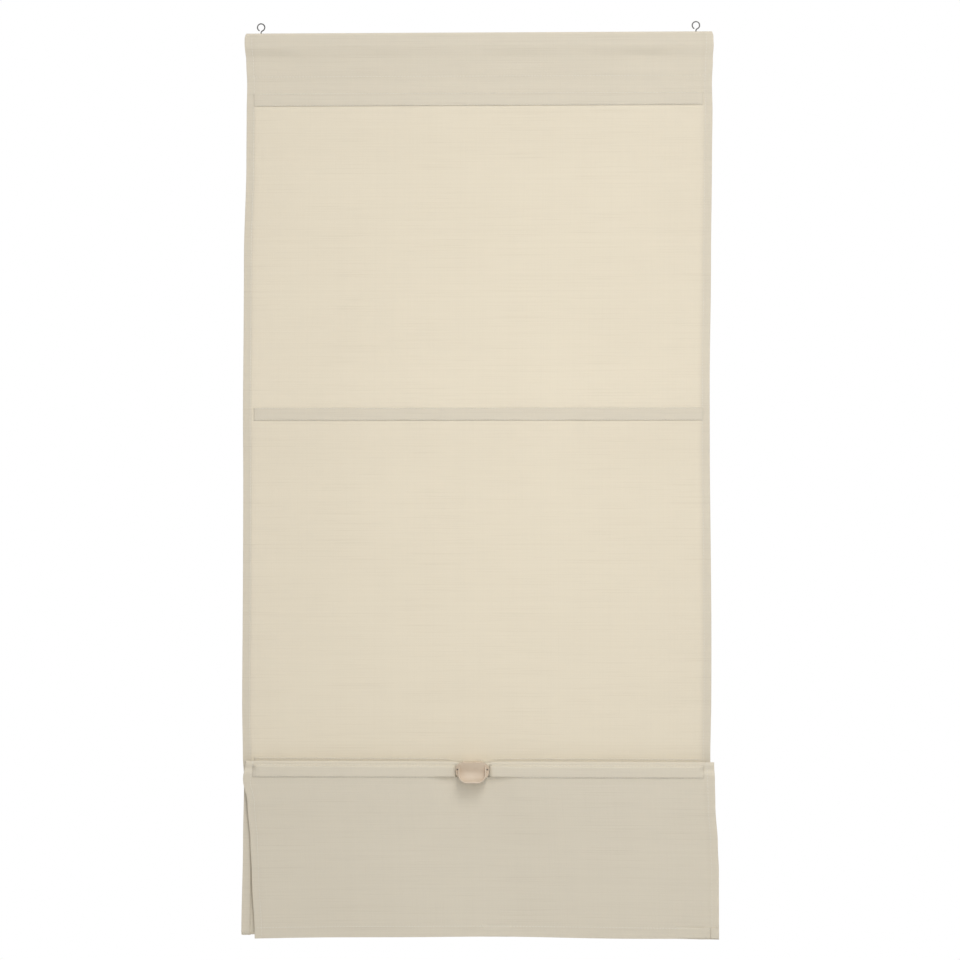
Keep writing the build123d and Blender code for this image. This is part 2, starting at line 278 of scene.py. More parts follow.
@dataclass(frozen=True)
class Finish:
    """A material whose marks follow the places on its piece.

    Attributes:
        name: name of the material.
    """

    name: str

    def material(self) -> bpy.types.Material:
        """Makes the material.

        Returns:
            The material.
        """
        made = bpy.data.materials.new(self.name)
        shader = Shader(made)
        shader.finish(self.surface(shader))
        return made

    def surface(self, shader: Shader) -> bpy.types.Node:
        """Writes the nodes of the finish.

        Args:
            shader: the material's node tree.

        Returns:
            The last shader.
        """
        raise NotImplementedError


@dataclass(frozen=True)
class WovenCloth(Finish):
    """Plain-woven cream cloth that lets some light through.

    Attributes:
        tone: colour of the yarn.
        deep: colour of the yarn in the darker picks, and of the painted shade along seams.
        weft_pitch: distance between the threads that run across.
        warp_pitch: distance between the threads that run down.
        see_through_share: share of the light that goes through.
        seam_painted_shade: painted shade, how much darker the cloth is coloured near a seam.
        relief_depth: height of the weave's relief.
    """

    tone: Colour = colour(0.9, 0.838, 0.706)
    deep: Colour = colour(0.815, 0.748, 0.618)
    weft_pitch: float = 0.62 * MM
    warp_pitch: float = 0.55 * MM
    see_through_share: float = 0.25
    seam_painted_shade: float = 0.14
    relief_depth: float = 0.35 * MM

    def surface(self, shader: Shader) -> bpy.types.Node:
        """Writes the weave, its thick threads, the puckers of the seams and painted shade along
        them.

        A thread's height is the sine across it, plus or minus the product of both sines, so
        that it passes over one neighbour and under the next. The higher thread shows.

        Args:
            shader: the material's node tree.

        Returns:
            The last shader.
        """
        place = shader.read(shader.node("ShaderNodeUVMap", {"uv_map": UV_NAME}))
        across, along, _ = shader.split(place)
        warp, weft = across / self.warp_pitch, along / self.weft_pitch
        warp_wave = shader.math("SINE", warp * math.pi)
        weft_wave = shader.math("SINE", weft * math.pi)
        crossing = warp_wave * weft_wave * 0.55
        weave = shader.math("MAXIMUM", abs(warp_wave) + crossing, abs(weft_wave) - crossing)
        slub = shader.smooth(shader.noise(place, (9.0, 950.0, 1.0), 1.0), 0.56, 0.76)
        fine_slub = shader.smooth(shader.noise(place, (26.0, 1500.0, 1.0), 1.0), 0.55, 0.8)
        warp_slub = shader.smooth(shader.noise(place, (1400.0, 14.0, 1.0), 1.0), 0.6, 0.8)
        cloudy = shader.noise(place, (7.0, 5.0, 1.0), 3.0)
        pick = shader.per_thread(weft) * 0.5 + shader.per_thread(warp) * 0.3
        seam = shader.read(
            shader.node("ShaderNodeAttribute", {"attribute_name": SEAM_NAME}), "Fac"
        )
        pucker = shader.noise(place, (210.0, 150.0, 1.0), 2.0)
        shade = pick * 0.34 + slub * 0.42 + fine_slub * 0.2 + warp_slub * 0.16
        # Painted shade: the cloth is coloured darker near seams and hem edges, standing in for the
        # shade of their puckers.
        shade = shade + cloudy * 0.3 - 0.12 + seam * self.seam_painted_shade
        relief = weave * 0.3 + slub * 0.35 + fine_slub * 0.2 + warp_slub * 0.18
        relief = relief + pucker * seam * 1.6
        normal = shader.bump(relief, self.relief_depth, 0.55)
        base = shader.mixed(shade, self.tone, self.deep)
        front = shader.principled(
            {
                "Base Color": base,
                "Roughness": 0.92,
                "Specular IOR Level": 0.18,
                "Sheen Weight": 0.08,
                "Sheen Roughness": 0.6,
                "Normal": normal,
            }
        )
        through = shader.node("ShaderNodeBsdfTranslucent", inputs={"Color": base, "Normal": normal})
        return shader.blended(self.see_through_share, front, through)


@dataclass(frozen=True)
class SewingThread(Finish):
    """Twisted thread of the seams, with the pitch of its twist."""

    name: str = "seam_thread"
    tone: Colour = colour(0.96, 0.92, 0.83)
    deep: Colour = colour(0.84, 0.78, 0.67)
    twist: float = 0.42 * MM

    def surface(self, shader: Shader) -> bpy.types.Node:
        """Writes slanting stripes of the twist, a little uneven."""
        place = shader.object_place()
        x, _, z = shader.split(place)
        stripe = shader.math("SINE", (x + z) * (math.tau / self.twist)) * 0.5 + 0.5
        uneven = shader.noise(place, (420.0, 420.0, 420.0))
        return shader.principled(
            {
                "Base Color": shader.mixed(stripe * 0.35 + uneven * 0.4, self.tone, self.deep),
                "Roughness": 0.7,
                "Sheen Weight": 0.15,
                "Normal": shader.bump(stripe, 0.05 * MM, 0.6),
            }
        )


@dataclass(frozen=True)
class PlanedWood(Finish):
    """Pale softwood with its grain along X, in the colours of early and late wood."""

    name: str = "planed_softwood"
    early: Colour = colour(0.72, 0.53, 0.33)
    late: Colour = colour(0.5, 0.32, 0.17)

    def surface(self, shader: Shader) -> bpy.types.Node:
        """Writes year rings drawn out along the batten, and fine pores."""
        place = shader.object_place()
        ring = shader.noise(place, (1.4, 330.0, 210.0), 4.0)
        band = shader.math("SINE", ring * 34.0) * 0.5 + 0.5
        pore = shader.noise(place, (60.0, 2200.0, 2200.0), 2.0)
        return shader.principled(
            {
                "Base Color": shader.mixed(band * 0.6 + pore * 0.3 - 0.1, self.early, self.late),
                "Roughness": 0.62 + pore * 0.2,
                "Normal": shader.bump(band * 0.4 + pore * 0.6, 0.08 * MM, 0.5),
            }
        )


@dataclass(frozen=True)
class DrawnRod(Finish):
    """White glass-fibre rod with faint fibres along X."""

    name: str = "glass_fibre_rod"
    tone: Colour = colour(0.84, 0.835, 0.81)
    fibre: Colour = colour(0.72, 0.71, 0.68)

    def surface(self, shader: Shader) -> bpy.types.Node:
        """Writes fine streaks along the rod in colour and relief."""
        streak = shader.noise(shader.object_place(), (4.0, 2600.0, 2600.0), 3.0)
        streaked = shader.smooth(streak, 0.35, 0.75)
        return shader.principled(
            {
                "Base Color": shader.mixed(streaked, self.tone, self.fibre),
                "Roughness": 0.34 + streak * 0.2,
                "Normal": shader.bump(streak, 0.04 * MM, 0.5),
            }
        )


@dataclass(frozen=True)
class PlatedWire(Finish):
    """Grey plated steel wire with drawing marks."""

    name: str = "plated_wire"
    bright: Colour = colour(0.17, 0.167, 0.163)
    dull: Colour = colour(0.08, 0.078, 0.076)

    def surface(self, shader: Shader) -> bpy.types.Node:
        """Writes dull patches and fine marks in roughness and relief."""
        place = shader.object_place()
        patch = shader.noise(place, (260.0, 260.0, 260.0), 4.0)
        mark = shader.noise(place, (3200.0, 3200.0, 700.0), 2.0)
        return shader.principled(
            {
                "Base Color": shader.mixed(shader.smooth(patch, 0.4, 0.68), self.bright, self.dull),
                "Metallic": 1.0,
                "Roughness": 0.3 + patch * 0.25,
                "Normal": shader.bump(mark, 0.03 * MM, 0.5),
            }
        )


@dataclass(frozen=True)
class MouldedPlastic(Finish):
    """Beige moulded plastic with a fine spark-eroded grain and edges of a small radius."""

    name: str = "moulded_plastic"
    tone: Colour = colour(0.672, 0.557, 0.431)
    deep: Colour = colour(0.6, 0.488, 0.368)
    edge_radius: float = 0.45 * MM

    def surface(self, shader: Shader) -> bpy.types.Node:
        """Writes soft flow clouds, a fine grain and slightly rounded edges."""
        place = shader.object_place()
        flow = shader.noise(place, (45.0, 45.0, 80.0), 2.0)
        grain = shader.noise(place, (2600.0, 2600.0, 2600.0), 2.0)
        rounded = shader.node("ShaderNodeBevel", {"samples": 6}, {"Radius": self.edge_radius})
        return shader.principled(
            {
                "Base Color": shader.mixed(shader.smooth(flow, 0.3, 0.7), self.tone, self.deep),
                "Roughness": 0.4 + grain * 0.16,
                "Specular IOR Level": 0.45,
                "Normal": shader.bump(grain, 0.05 * MM, 0.35, shader.read(rounded)),
            }
        )


# Surfaces worked out as whole arrays.


def smoothstep(value: Array, low: float, high: float) -> Array:
    """A value carried from 0 at low to 1 at high along 3t^2 - 2t^3."""
    share = np.clip((value - low) / (high - low), 0.0, 1.0)
    return share * share * (3.0 - 2.0 * share)


def hump(value: Array, middle: float, spread: float) -> Array:
    """A bell of height 1 round the middle, exp(-(distance / spread)^2)."""
    return np.exp(-(((value - middle) / spread) ** 2))


def through_stations(value: Array, stations: Stations) -> Array:
    """A smooth line through given stations.

    Between two stations the height goes along 3t^2 - 2t^3, so that it is level at each.

    Args:
        value: where the line is wanted.
        stations: pairs of place and height, in rising order of place.

    Returns:
        The heights.
    """
    places, heights = np.array(stations, float).T
    index = np.clip(np.searchsorted(places, value, side="right") - 1, 0, len(places) - 2)
    share = smoothstep((value - places[index]) / (places[index + 1] - places[index]), 0.0, 1.0)
    return heights[index] + (heights[index + 1] - heights[index]) * share


@dataclass(frozen=True)
class Corner:
    """A corner of a route, with the radius of its bend and the step of the run after it."""

    y: float
    z: float
    radius: float = 0.0
    step: float = 6.0 * MM


@dataclass
class Route:
    """A line in the plane across the blind: straight runs joined by round bends.

    Attributes:
        corners: corners in the order of the cloth's length.
        bend_step: angle between two points of a bend, in radians.
        points: the route's points, worked out at the start.
        lengths: length of the route up to each point.
        marks: length of the route at the middle of each corner.
    """

    corners: Sequence[Corner]
    bend_step: float = math.radians(11.0)
    points: Array = field(init=False)
    lengths: Array = field(init=False)
    marks: list[float] = field(init=False)

    def __post_init__(self) -> None:
        """Works out the points, their lengths and the corners' marks."""
        bends = [self._bend(index) for index in range(len(self.corners))]
        runs: list[Array] = []
        middles: list[int] = []
        count = 0
        for index, bend in enumerate(bends):
            middles.append(count + len(bend) // 2)
            runs.append(bend)
            count += len(bend)
            if index + 1 < len(bends):
                run = self._run(bend[-1], bends[index + 1][0], self.corners[index].step)
                runs.append(run)
                count += len(run)
        self.points = np.concatenate(runs)
        steps = np.linalg.norm(np.diff(self.points, axis=0), axis=1)
        self.lengths = np.concatenate([[0.0], np.cumsum(steps)])
        self.marks = [float(self.lengths[middle]) for middle in middles]

    def _bend(self, index: int) -> Array:
        """Points of one corner: its arc, which touches both runs, or the corner itself."""
        here = self.corners[index]
        middle = np.array([here.y, here.z])
        if here.radius == 0.0 or index in (0, len(self.corners) - 1):
            return middle[None, :]
        before, after = self.corners[index - 1], self.corners[index + 1]
        back = np.array([before.y, before.z]) - middle
        on = np.array([after.y, after.z]) - middle
        back, on = back / np.linalg.norm(back), on / np.linalg.norm(on)
        half = math.acos(float(np.clip(back @ on, -1.0, 1.0))) / 2
        centre = middle + (back + on) / np.linalg.norm(back + on) * here.radius / math.sin(half)
        turn = math.pi - 2 * half
        count = max(3, math.ceil(turn / self.bend_step) + 1)
        angles = np.linspace(-turn / 2, turn / 2, count)[:, None]
        inward = (middle - centre) / np.linalg.norm(middle - centre)
        side = np.array([-inward[1], inward[0]])
        side = side * np.sign(side @ on)
        return centre + here.radius * (np.cos(angles) * inward + np.sin(angles) * side)

    @staticmethod
    def _run(start: Array, stop: Array, step: float) -> Array:
        """Points between two bends, spaced by about one step, without the two ends."""
        length = np.linalg.norm(stop - start)
        shares = np.linspace(0.0, 1.0, max(2, math.ceil(length / step) + 1))[1:-1]
        return start + shares[:, None] * (stop - start)

    def place(self, length: Array) -> tuple[Array, Array]:
        """Y and Z at a length along the route."""
        y, z = self.points.T
        return np.interp(length, self.lengths, y), np.interp(length, self.lengths, z)

    def wrong_side(self, length: Array) -> tuple[Array, Array]:
        """Unit direction, as Y and Z, out of the side to the left of the way along."""
        reach = 0.25 * MM
        y_on, z_on = self.place(length + reach)
        y_back, z_back = self.place(length - reach)
        run_y, run_z = y_on - y_back, z_on - z_back
        size = np.hypot(run_y, run_z) + 1e-12
        return -run_z / size, run_y / size


class MeshMaker:
    """Puts arrays into Blender meshes."""

    @staticmethod
    def grid(rows: int, columns: int) -> Array:
        """Quads of a grid whose points run row by row, facing the right side of the cloth."""
        point = np.arange(rows * columns).reshape(rows, columns)
        quads = (point[:-1, :-1], point[1:, :-1], point[1:, 1:], point[:-1, 1:])
        return np.stack(quads, axis=-1).reshape(-1, 4)

    @staticmethod
    def piece(
        name: str,
        points: Array,
        faces: Sequence[Sequence[int]],
        material: bpy.types.Material,
        uv: Array | None = None,
        seam: Array | None = None,
    ) -> bpy.types.Object:
        """Makes a smooth mesh piece at the origin that rides on the blind.

        Args:
            name: name of the piece.
            points: one row of X, Y and Z for each point.
            faces: corners of each face.
            material: finish of the piece.
            uv: place on the cloth in metres for each point.
            seam: nearness of a seam for each point, from 0 to 1, for puckers and painted shade.

        Returns:
            The piece.
        """
        mesh = bpy.data.meshes.new(name)
        mesh.from_pydata(points, [], faces)
        mesh.shade_smooth()
        if uv is not None:
            corner = np.empty(len(mesh.loops), np.int32)
            mesh.loops.foreach_get("vertex_index", corner)
            layer = mesh.uv_layers.new(name=UV_NAME)
            layer.data.foreach_set("uv", uv[corner].astype(np.float32).ravel())
        if seam is not None:
            layer = mesh.attributes.new(SEAM_NAME, "FLOAT", "POINT")
            layer.data.foreach_set("value", seam.astype(np.float32))
        mesh.materials.append(material)
        made = bpy.data.objects.new(name, mesh)
        bpy.context.scene.collection.objects.link(made)
        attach(made, BLIND)
        LOG.info("%s: %d points, %d faces", name, len(mesh.vertices), len(mesh.polygons))
        return made

    @staticmethod
    def thicken(piece: bpy.types.Object, thickness: float) -> None:
        """Gives a sheet its thickness, half on each side."""
        solid = piece.modifiers.new("thickness", "SOLIDIFY")
        solid.thickness = thickness
        solid.offset = 0.0


# The cloth.


class Bend(Enum):
    """Corners of the cloth's route, in order."""

    TURNED_END = 0
    BACK_SEAM = 1
    BACK_SLACK = 2
    TOP_BACK = 3
    TOP_FRONT = 4
    UNDER_BATTEN = 5
    SLACK = 6
    HEAD_SEAM = 7
    LOOP_BACK = 8
    LOOP_FRONT = 9
    FOLD_BACK = 10
    FOLD_FRONT = 11
    HEM_FRONT = 12
    HEM_BACK = 13
    HEM_END = 14


@dataclass
class HangingCloth:
    """The sheet: head pocket, panel, loop at the bottom, rear of the fold and front flap.

    Attributes:
        finish: finish of the cloth.
        layer: thickness of one layer.
        ply: distance between the middles of two layers that are sewn together.
        hem: width of the turned side hems.
        bottom_hem: height of the turned hem of the flap.
        hem_inset: distance from the hem's upper edge to its seam.
        seam_drop: distance from the cloth's top edge to the head seam.
        seam_allowance: length turned in below the head seam.
        pocket_ease: distance between the batten and the middle of the cloth round it.
        slack_share: depth of the slack under the batten, as a share of the batten's.
        slack_drop: distances of the slack's bends below the batten: back, front and deepest.
        soft_bend: radius of the bends of the slack and of the seams.
        top_bend: radius of the bends over the batten.
        strap: distance from the pull's top to the fold under it.
        fold_radius: radius of the fold at the top of the flap.
        loop_rise: height of the loop's bottom over the lower edge of the solid.
        bend_share: radius of the loop and the fold, as a share of half their width.
        hem_bend_share: radius of the bottom hem's turn, as a share of the ply.
        row_steps: distance between rows after each bend, in millimetres.
        column_step: distance between two columns of points.
        eye_inset: distance from the batten's ends to the eyes.
        hole_reach: half the width of the openings for the eyes.
        hole_clear: least distance between an opening and the next column.
        sway: sideways shift of the panel by height, in millimetres as the next four.
        spread: half the width of the panel.
        riser_sway: sideways shift of the layer behind the flap.
        flap_sway: sideways shift of the flap.
        flap_spread: half the width of the flap.
        corner_drop: how far the flap's left and right corner hang below its middle.
        flap_drop: how far the middle of the flap's lower edge hangs below the solid's.
        flap_tilt: how far the lower edge rises from the middle to the right end.
        fold_rise: how far the fold rises beside the pull.
        fold_rise_reach: distances from the pull's middle between which the fold rises.
        crest_reach: lengths along which the rise grows, stays level and ends.
        draw: how far the seams of a tunnel draw the cloth forward.
        draw_rod: distances from the rod between which the cloth comes forward.
        draw_fade: distances from the tape's middle between which it goes back again.
        draw_turn: half the length over which the flap's drawing sets in.
        draw_gap: half the width over which the pull holds the flap back.
        draw_end: distances beyond the rods' ends between which the cloth comes forward.
        end_columns: added columns at the rods' ends, where the cloth turns forward.
        close_reach: reach of the close rows to each side of a tape's middle.
        close_step: distance between the close rows.
        crease_depth: depth of the crease under the batten.
        crease_reach: distances below the batten at which the crease is deepest and ends.
        wave_terms: height in millimetres, lengths across and along, and start of each wave.
        wave_shares: share of the waves on the panel, and what the flap has more.
        seam_reach: distance from a tape's middle to its seams.
        seam_spread: half the width of a seam's puckers and painted shade, across the cloth and at
            the sides.
    """

    finish: WovenCloth
    layer: float = 0.4 * MM
    ply: float = 0.7 * MM
    hem: float = 11.0 * MM
    bottom_hem: float = 15.4 * MM
    hem_inset: float = 1.5 * MM
    seam_drop: float = 56.0 * MM
    seam_allowance: float = 26.0 * MM
    pocket_ease: float = 1.1 * MM
    slack_share: float = 0.76
    slack_drop: tuple[float, float, float] = (8.0 * MM, -2.0 * MM, 12.0 * MM)
    soft_bend: float = 12.0 * MM
    top_bend: float = 2.6 * MM
    strap: float = 2.4 * MM
    fold_radius: float = 2.2 * MM
    loop_rise: float = -0.9 * MM
    bend_share: float = 0.999
    hem_bend_share: float = 0.499
    row_steps: tuple[float, ...] = (
        2.0, 4.0, 5.0, 1.6, 1.6, 1.6, 1.6, 7.0, 1.6, 7.0, 1.6, 6.0, 1.6, 2.6, 6.0,
    )
    column_step: float = 7.0 * MM
    eye_inset: float = 16.0 * MM
    hole_reach: float = 1.3 * MM
    hole_clear: float = 2.4 * MM
    sway: Stations = (
        (-1170.0, -3.6), (-975.0, -1.3), (-938.0, -2.6), (-750.0, -2.0), (-480.0, -2.8),
        (-300.0, -1.4), (-170.0, 0.8), (-110.0, 1.4), (-48.0, 1.3), (-30.0, 1.1), (-20.0, 0.7),
    )
    spread: Stations = (
        (-1170.0, 300.6), (-975.0, 300.3), (-940.0, 300.9), (-867.0, 302.0), (-480.0, 300.1),
        (-300.0, 300.6), (-170.0, 299.6), (-110.0, 299.5), (-75.0, 298.8), (-45.0, 300.0),
        (-24.0, 301.3), (-15.0, 301.2), (-8.6, 299.7),
    )
    riser_sway: Stations = ((-1170.0, -3.6), (-1050.0, -1.6), (-968.0, -0.4), (-945.0, 1.8))
    flap_sway: Stations = (
        (-1168.0, 11.0), (-1081.0, 8.9), (-1050.0, 7.5), (-998.0, 3.95), (-968.0, 0.85),
        (-945.0, 2.1),
    )
    flap_spread: Stations = (
        (-1168.0, 297.5), (-1080.0, 299.4), (-998.0, 299.65), (-968.0, 302.1), (-945.0, 300.1),
    )
    corner_drop: tuple[float, float] = (2.4 * MM, 3.4 * MM)
    flap_drop: float = 1.0 * MM
    flap_tilt: float = 0.8 * MM
    fold_rise: float = 2.3 * MM
    fold_rise_reach: tuple[float, float] = (13.0 * MM, 25.0 * MM)
    crest_reach: tuple[float, float, float] = (40.0 * MM, 0.3 * MM, 2.8 * MM)
    draw: float = 3.2 * MM
    draw_rod: tuple[float, float] = (2.1 * MM, 3.7 * MM)
    draw_fade: tuple[float, float] = (7.2 * MM, 90.0 * MM)
    draw_turn: float = 3.3 * MM
    draw_gap: float = 30.0 * MM
    draw_end: tuple[float, float] = (1.0 * MM, 4.0 * MM)
    end_columns: tuple[float, ...] = (-285.7 * MM, 282.6 * MM, 286.5 * MM)
    close_reach: float = 9.2 * MM
    close_step: float = 1.15 * MM
    crease_depth: float = 1.7 * MM
    crease_reach: tuple[float, float] = (12.0 * MM, 36.0 * MM)
    wave_terms: Sequence[tuple[float, ...]] = (
        (0.55, 0.071, 0.19, 0.0), (0.45, 0.043, -0.13, 1.3), (0.35, 0.11, -0.061, 2.1),
    )
    wave_shares: tuple[float, float] = (0.55, 0.5)
    seam_reach: float = 7.3 * MM
    seam_spread: tuple[float, float] = (4.0 * MM, 3.0 * MM)
    route: Route = field(init=False)
    half_width: float = field(init=False)
    pull_x: float = field(init=False)
    eye_x: float = field(init=False)

    def __post_init__(self) -> None:
        """Takes the cloth's places from the frame and lays its route."""
        low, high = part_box("fabric")
        batten_low, batten_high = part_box("head_batten")
        pull_low, pull_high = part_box("pull")
        self.pull_x = (pull_low.x + pull_high.x) / 2
        self.half_width = -low.x
        self.eye_x = (batten_high.x - batten_low.x) / 2 - self.eye_inset
        panel_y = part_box("pocket_tape_1")[1].y + self.layer / 2
        flap_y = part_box(FLAP_TAPE)[1].y + self.layer / 2
        riser_y = flap_y + 2 * self.fold_radius
        loop_radius = (panel_y - riser_y) / 2 * self.bend_share
        fold_radius = self.fold_radius * self.bend_share
        hem_radius = self.ply * self.hem_bend_share
        top = high.z - self.layer / 2
        seam = high.z - self.seam_drop
        pocket = batten_high.y + self.pocket_ease
        back, front, deepest = (batten_low.z - drop for drop in self.slack_drop)
        fold_top = pull_high.z - self.strap
        loop_bottom = low.z + self.loop_rise
        behind, hem_y = panel_y + self.ply, flap_y + self.ply
        corners = (
            (behind, seam - self.seam_allowance, 0.0),
            (behind, seam, self.soft_bend),
            (pocket, back, self.soft_bend),
            (pocket, top, self.top_bend),
            (-pocket, top, self.top_bend),
            (-pocket, front, self.soft_bend),
            (batten_low.y * self.slack_share, deepest, self.soft_bend),
            (panel_y, seam, self.soft_bend),
            (panel_y, loop_bottom, loop_radius),
            (riser_y, loop_bottom, loop_radius),
            (riser_y, fold_top, fold_radius),
            (flap_y, fold_top, fold_radius),
            (flap_y, low.z, hem_radius),
            (hem_y, low.z, hem_radius),
            (hem_y, low.z + self.bottom_hem, 0.0),
        )
        steps = (step * MM for step in self.row_steps)
        self.route = Route([Corner(*corner, step) for corner, step in zip(corners, steps)])

    def mark(self, bend: Bend) -> float:
        """Length of the route at a named bend."""
        return self.route.marks[bend.value]

    def length_at(self, height: float, start: Bend, stop: Bend) -> float:
        """Length of the route where it passes a height between two bends."""
        lengths = np.linspace(self.mark(start), self.mark(stop), 4001)
        return float(lengths[np.argmin(np.abs(self.route.place(lengths)[1] - height))])

    def columns(self) -> tuple[Array, Array]:
        """Places of the columns across the sheet, and how deep each lies behind the right side.

        The middle is level. At each side the sheet turns over a half circle as wide as the ply
        and comes back behind itself as the hem.

        Returns:
            X of each column at half the nominal width, and the depth of each column.
        """
        inner = self.half_width - self.hem
        middle = np.linspace(-inner, inner, math.ceil(2 * inner / self.column_step) + 1)
        reach = np.array([-self.hole_reach, self.hole_reach])
        holes = np.concatenate([reach - self.eye_x, reach + self.eye_x])
        top = self.route.points[:, 1].max() / MM
        holes = holes - through_stations(top, self.sway) * MM
        holes = holes * self.half_width / (through_stations(top, self.spread) * MM)
        clear = np.min(np.abs(middle[:, None] - holes[None, :]), axis=1) > self.hole_clear
        middle = np.sort(np.concatenate([middle[clear], holes, self.end_columns]))
        radius = self.ply / 2
        face = inner + (self.hem - radius) * np.array([0.12, 0.35, 0.62, 0.85, 1.0])
        turn = np.linspace(0.0, math.pi, 6)[1:]
        turned_x = self.half_width - radius + radius * np.sin(turn)
        turned_depth = radius - radius * np.cos(turn)
        back = inner + (self.hem - radius) * np.array([0.8, 0.5, 0.22, 0.0])
        side_x = np.concatenate([face, turned_x, back])
        level, behind = np.zeros_like(face), np.full_like(back, self.ply)
        side_depth = np.concatenate([level, turned_depth, behind])
        x = np.concatenate([-side_x[::-1], middle, side_x])
        depth = np.concatenate([side_depth[::-1], np.zeros_like(middle), side_depth])
        return x, depth

    def rows(self) -> Array:
        """Places of the rows along the sheet: the route's own, and close ones behind each rod."""
        reach = np.arange(-self.close_reach, self.close_reach, self.close_step)
        middles = np.array([self.tape_length(node) for node in DRAWING_TAPES])
        apart = np.min(np.abs(self.route.lengths[:, None] - middles[None, :]), axis=1)
        kept = self.route.lengths[apart > self.close_reach]
        return np.sort(np.concatenate([kept, (middles[:, None] + reach[None, :]).ravel()]))

    def surface(self, x: Array, length: Array, depth: Array, drawn: bool = True) -> Array:
        """Points of the cloth.

        The route gives Y and Z. X is stretched and shifted by the stations of its layer. Slow
        waves, the crease under the batten, the drawing of the tunnels, the rise of the fold and
        the hanging of the flap are added to that.

        Args:
            x: place across the flat cloth.
            length: place along the route.
            depth: distance behind the right side of the cloth.
            drawn: whether the cloth is drawn forward at the edges of the tunnels.

        Returns:
            X, Y and Z, in the last axis.
        """
        x, length, depth = np.broadcast_arrays(x, length, depth)
        y, z = self.route.place(length)
        side_y, side_z = self.route.wrong_side(length)
        height = z / MM
        on_riser = smoothstep(length, self.mark(Bend.LOOP_BACK), self.mark(Bend.LOOP_FRONT))
        on_flap = smoothstep(length, self.mark(Bend.FOLD_BACK), self.mark(Bend.FOLD_FRONT))
        sway = through_stations(height, self.sway)
        sway = sway + on_riser * (through_stations(height, self.riser_sway) - sway)
        sway = sway + on_flap * (through_stations(height, self.flap_sway) - sway)
        half = through_stations(height, self.spread)
        half = half + on_flap * (through_stations(height, self.flap_spread) - half)
        across = (x / self.half_width * half + sway) * MM
        out = depth + self.waves(x, length) * (1.0 - on_riser + on_flap)
        if drawn:
            out = out - self.drawn_forward(across, length)
        out = out + self.crease(x, z, length)
        doubled = smoothstep(np.abs(x), self.half_width - 2 * self.hem, self.half_width - self.hem)
        turned_in = 1.0 - smoothstep(length, self.mark(Bend.BACK_SEAM), self.mark(Bend.BACK_SLACK))
        turned_up = smoothstep(length, self.mark(Bend.HEM_FRONT), self.mark(Bend.HEM_BACK))
        raised = self.crest(length) * smoothstep(np.abs(x - self.pull_x), *self.fold_rise_reach)
        made_y = y + side_y * out + doubled * (turned_in + turned_up) * 2 * self.ply
        made_z = z + side_z * out + self.fold_rise * raised - self.sag(x, length)
        return np.stack([across, made_y, made_z], axis=-1)

    def drawn_forward(self, x: Array, length: Array) -> Array:
        """How far the seams of a tunnel draw the cloth forward, to the middle of the rod.

        Behind the rod the cloth stays back, and beyond the rod's ends it comes forward. From the
        tape's edge on it goes back slowly.

        Args:
            x: place across the hanging cloth.
            length: place along the route.

        Returns:
            The distance at each point.
        """
        total = np.zeros_like(length)
        start, full = (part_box("rod_1")[1].x + reach for reach in self.draw_end)
        beyond = smoothstep(np.abs(x), start, full)
        for node in DRAWING_TAPES:
            away = length - self.tape_length(node)
            from_rod = np.abs(away - self.rod_offset(node))
            near = np.maximum(smoothstep(from_rod, *self.draw_rod), beyond)
            near = near * (1.0 - smoothstep(np.abs(away), *self.draw_fade))
            total = np.maximum(total, near * self.draw_share(node, x, away))
        return self.draw * total

    @staticmethod
    def rod_offset(node: str) -> float:
        """How far the rod of a tape hangs below the tape's middle."""
        low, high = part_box(node)
        rod_low, rod_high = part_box(f"rod_{node[-1]}")
        return (low.z + high.z - rod_low.z - rod_high.z) / 2

    def draw_share(self, node: str, x: Array, away: Array) -> Array:
        """Share of the full drawing forward that the seams of one tape bring about.

        It is all on the panel and none on the hooked tape. On the flap only the lower seam
        draws, and only aside from the pull.

        Args:
            node: the tape.
            x: place across the hanging cloth.
            away: distance below the tape's middle.

        Returns:
            The share at each point.
        """
        x, away = np.broadcast_arrays(x, away)
        if node == HOOKED_TAPE:
            return np.zeros(x.shape)
        if node != FLAP_TAPE:
            return np.ones(x.shape)
        aside = smoothstep(np.abs(x - self.pull_x), self.draw_gap, 2 * self.draw_gap)
        return aside * smoothstep(away, -self.draw_turn, self.draw_turn)

    def waves(self, x: Array, length: Array) -> Array:
        """Slow waves of the loose cloth: slanting sines, still at every seam.

        Args:
            x: place across the flat cloth.
            length: place along the route.

        Returns:
            The distance behind the still cloth.
        """
        seam, fold = self.mark(Bend.HEAD_SEAM), self.mark(Bend.FOLD_FRONT)
        still_reach, loose_reach, flap_reach = 45.0 * MM, 80.0 * MM, 120.0 * MM
        still = np.ones_like(length)
        for sewn in (seam, *(self.tape_length(node) for node in TAPE_NODES)):
            still = still * (1.0 - hump(length, sewn, still_reach))
        loose = smoothstep(length, seam, seam + loose_reach)
        flap = smoothstep(length, fold, fold + flap_reach)
        wave = sum(
            high * np.sin(x / across + length / along + start)
            for high, across, along, start in self.wave_terms
        )
        on_panel, more_on_flap = self.wave_shares
        return wave * still * loose * (on_panel + more_on_flap * flap) * MM

